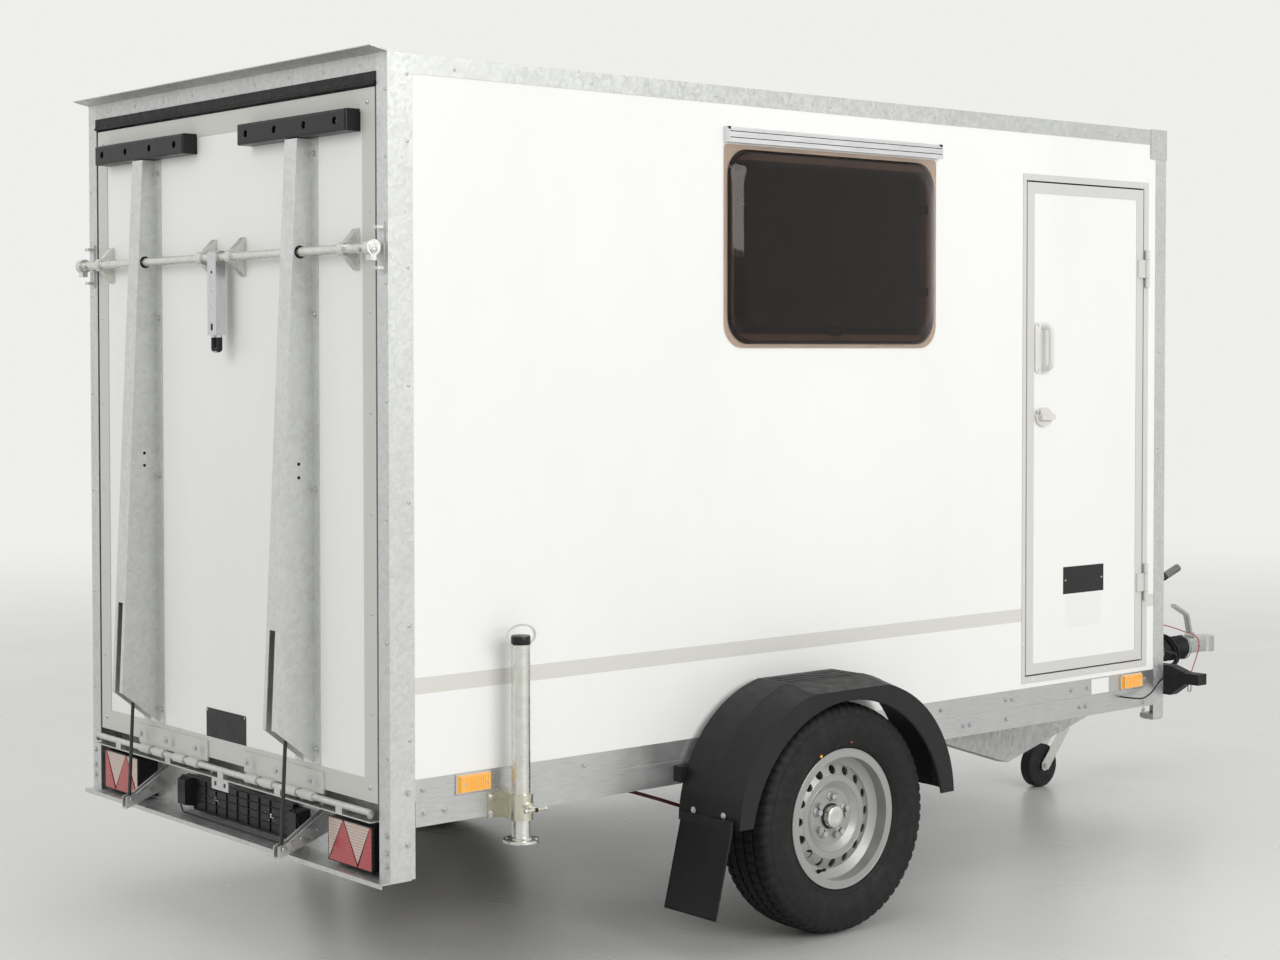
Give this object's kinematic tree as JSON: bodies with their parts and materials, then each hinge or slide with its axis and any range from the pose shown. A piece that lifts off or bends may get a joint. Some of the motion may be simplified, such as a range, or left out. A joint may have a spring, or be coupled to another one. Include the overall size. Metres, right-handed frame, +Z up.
{
  "type": "enclosed cargo trailer",
  "caption": "White sandwich-panel cargo trailer on one axle with a rear ramp, side door, side window, A-frame drawbar with ball coupling and jockey wheel.",
  "frame": {"origin": "on the ground, below the middle of the overall length and width", "axes": "+X towards the coupling, +Y to the trailer's left, +Z up"},
  "size_m": [4.602, 2.11, 2.3685],
  "materials": {
    "cable_black": "smooth sheath",
    "cable_red": "clear red sheath",
    "cable_brown": "dark red sheath",
    "plated_steel": "zinc plated",
    "white_plastic": "moulded, fine grain",
    "galvanised": "spangled zinc",
    "aluminium_trim": "satin",
    "white_panel": "smooth laminate",
    "floor_board": "coated plywood",
    "grey_trim": "satin",
    "black_plastic": "grained",
    "black_rubber": "matt",
    "tyre": "matt",
    "rim_silver": "silver paint",
    "lamp_red": "ribbed lens",
    "lamp_amber": "ribbed lens",
    "window_plastic": "tinted acrylic",
    "coupling_grey": "zinc and paint",
    "spring_black": "gloss",
    "spring_chrome": "polished"
  },
  "bodies": {
    "chassis": {"side_rails": "galvanised", "cross_members": "galvanised", "floor_panel": "floor_board", "wall_right": "white_panel", "wall_left": "white_panel", "wall_front": "white_panel", "roof_panel": "white_panel", "rear_posts": "galvanised", "front_posts": "galvanised", "roof_rails": "aluminium_trim", "rear_header": "galvanised", "lamp_panel": "galvanised", "hinge_tube": "galvanised", "tail_lamps": "lamp_red", "plate_holder": "black_plastic", "fenders": "black_plastic", "axle": "galvanised", "drawbar_arms": "galvanised", "overrun_device": "galvanised", "bellows": "black_rubber", "coupling_head": "coupling_grey", "handbrake": "galvanised", "jockey_tube": "galvanised", "steady_clamps": "galvanised", "side_markers": "lamp_amber", "front_lamps": "black_rubber", "door_frame": "grey_trim", "window_rail": "aluminium_trim", "window_pane": "window_plastic", "lead_tube": "cable_black", "lead_coil": "cable_black", "lead_plug": "black_plastic", "breakaway_cable": "cable_red", "breakaway_hook": "plated_steel", "brake_cables": "cable_brown", "marker_leads": "cable_black"},
    "wheel_right": {"tyre_right": "tyre", "wheel_rim_right": "rim_silver"},
    "wheel_left": {"tyre_left": "tyre", "wheel_rim_left": "rim_silver"},
    "ramp": {"ramp_panel": "white_panel", "ramp_frame": "grey_trim", "ramp_rails": "galvanised", "ramp_buffers": "black_rubber", "bar_brackets": "galvanised"},
    "ramp_lock": {"lock_bar": "galvanised", "lock_handle": "galvanised"},
    "spring_tube_right": {"gas_cylinder_right": "spring_black"},
    "spring_tube_left": {"gas_cylinder_left": "spring_black"},
    "spring_rod_right": {"gas_rod_right": "spring_chrome"},
    "spring_rod_left": {"gas_rod_left": "spring_chrome"},
    "door": {"door_panel": "white_panel", "door_edge": "grey_trim", "door_pull": "white_plastic", "door_lock": "white_plastic"},
    "jockey_slider": {"jockey_leg": "galvanised"},
    "jockey_swivel": {"jockey_fork": "galvanised"},
    "jockey_roller": {"jockey_wheel": "black_rubber"},
    "steady_right": {"steady_leg_right": "galvanised"},
    "steady_left": {"steady_leg_left": "galvanised"}
  },
  "joints": [
    {"name": "wheel_spin_right", "type": "hinge", "parent": "chassis", "child": "wheel_right", "pos_m": [-0.829, -0.9415, 0.3235], "axis": [0, 1, 0], "continuous": true},
    {"name": "wheel_spin_left", "type": "hinge", "parent": "chassis", "child": "wheel_left", "pos_m": [-0.829, 0.9415, 0.3235], "axis": [0, 1, 0], "continuous": true},
    {"name": "ramp_hinge", "type": "hinge", "parent": "chassis", "child": "ramp", "pos_m": [-2.198, 0, 0.478], "axis": [0, -1, 0], "range_deg": [0, 104]},
    {"name": "lock_bar_turn", "type": "hinge", "parent": "ramp", "child": "ramp_lock", "pos_m": [-2.219, 0, 1.878], "axis": [0, -1, 0], "range_deg": [-95, 0]},
    {"name": "spring_pivot_right", "type": "hinge", "parent": "ramp", "child": "spring_tube_right", "pos_m": [-2.231, -0.418, 1.035], "axis": [0, -1, 0], "range_deg": [-7, 0]},
    {"name": "spring_pivot_left", "type": "hinge", "parent": "ramp", "child": "spring_tube_left", "pos_m": [-2.231, 0.418, 1.035], "axis": [0, -1, 0], "range_deg": [-7, 0]},
    {"name": "spring_slide_right", "type": "slide", "parent": "spring_tube_right", "child": "spring_rod_right", "axis": [0.0507, 0, 0.9987], "range_m": [0, 0.226]},
    {"name": "spring_slide_left", "type": "slide", "parent": "spring_tube_left", "child": "spring_rod_left", "axis": [0.0507, 0, 0.9987], "range_m": [0, 0.226]},
    {"name": "door_hinge", "type": "hinge", "parent": "chassis", "child": "door", "pos_m": [0.805, -0.8115, 1.377], "axis": [0, 0, 1], "range_deg": [0, 170]},
    {"name": "jockey_lift", "type": "slide", "parent": "chassis", "child": "jockey_slider", "axis": [0, 0, 1], "range_m": [-0.08, 0.1]},
    {"name": "jockey_turn", "type": "hinge", "parent": "jockey_slider", "child": "jockey_swivel", "pos_m": [1.354, 0, 0.215], "axis": [0, 0, 1], "continuous": true},
    {"name": "jockey_roll", "type": "hinge", "parent": "jockey_swivel", "child": "jockey_roller", "pos_m": [1.237, 0, 0.08], "axis": [0, 1, 0], "continuous": true},
    {"name": "steady_slide_right", "type": "slide", "parent": "chassis", "child": "steady_right", "axis": [0, 0, 1], "range_m": [-0.37, 0.04]},
    {"name": "steady_slide_left", "type": "slide", "parent": "chassis", "child": "steady_left", "axis": [0, 0, 1], "range_m": [-0.37, 0.04]}
  ],
  "couplings": [
    {"joint": "spring_pivot_right", "follows": "ramp_hinge", "ratio": -0.0667},
    {"joint": "spring_pivot_left", "follows": "ramp_hinge", "ratio": -0.0667},
    {"joint": "spring_slide_right", "follows": "ramp_hinge", "m_per_rad": 0.12406},
    {"joint": "spring_slide_left", "follows": "ramp_hinge", "m_per_rad": 0.12406}
  ]
}
